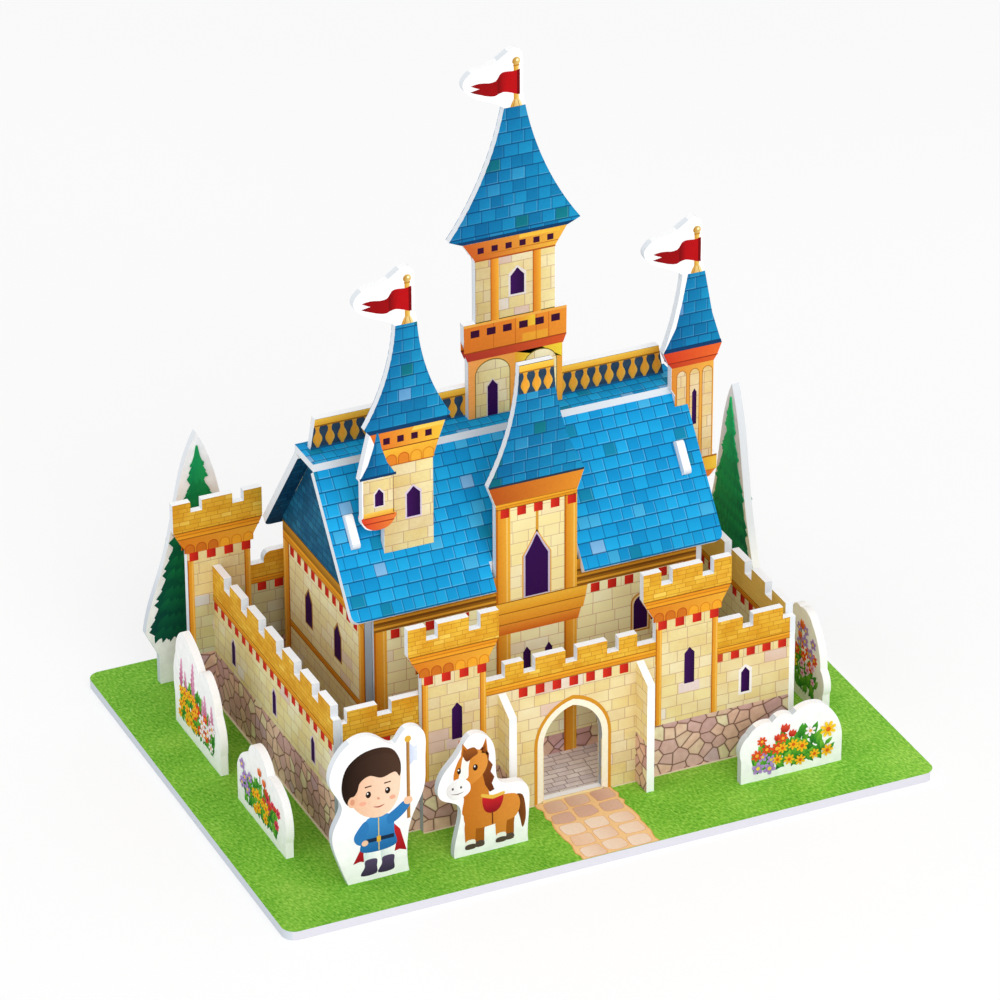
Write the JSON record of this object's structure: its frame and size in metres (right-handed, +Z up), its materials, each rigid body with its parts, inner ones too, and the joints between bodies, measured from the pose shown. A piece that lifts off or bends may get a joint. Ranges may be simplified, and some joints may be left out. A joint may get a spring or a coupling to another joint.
{
  "type": "slot-together toy castle",
  "caption": "Toy castle of printed foam boards: a walled court with a gate, a gabled keep with spired towers and flags, trees, flowers, a small figure and a horse on a lawn board.",
  "frame": {"origin": "middle of the underside of the base board", "axes": "+X along the gate front to the right, +Y from the gate to the back wall, +Z up"},
  "size_m": [0.257, 0.195, 0.271],
  "materials": {
    "masonry": "printed paper on white foam board, cream stone and orange brick",
    "roof": "printed paper on white foam board, blue roof tiles",
    "lawn": "printed paper on white foam board, mown grass and paving",
    "greenery": "white foam board with printed plants",
    "toy_card": "white foam board with a printed toy"
  },
  "bodies": {
    "root": {"base_board": "lawn", "front_wall": "masonry", "left_curtain": "masonry", "left_wall": "masonry", "right_wall": "masonry", "back_wall": "masonry", "left_buttress": "masonry", "right_buttress": "masonry", "keep_front": "masonry", "keep_back": "masonry", "keep_left_gable": "masonry", "keep_right_gable": "masonry", "roof_front": "roof", "roof_back": "roof", "roof_top": "roof", "main_tower": "masonry", "balustrade": "masonry", "left_turret": "masonry", "right_turret": "masonry", "tree_left": "greenery", "tree_right": "greenery", "flowers_back_left": "greenery", "flowers_front_left": "greenery", "flowers_right": "greenery", "flowers_front": "greenery", "figure": "toy_card", "horse": "toy_card"}
  },
  "joints": []
}
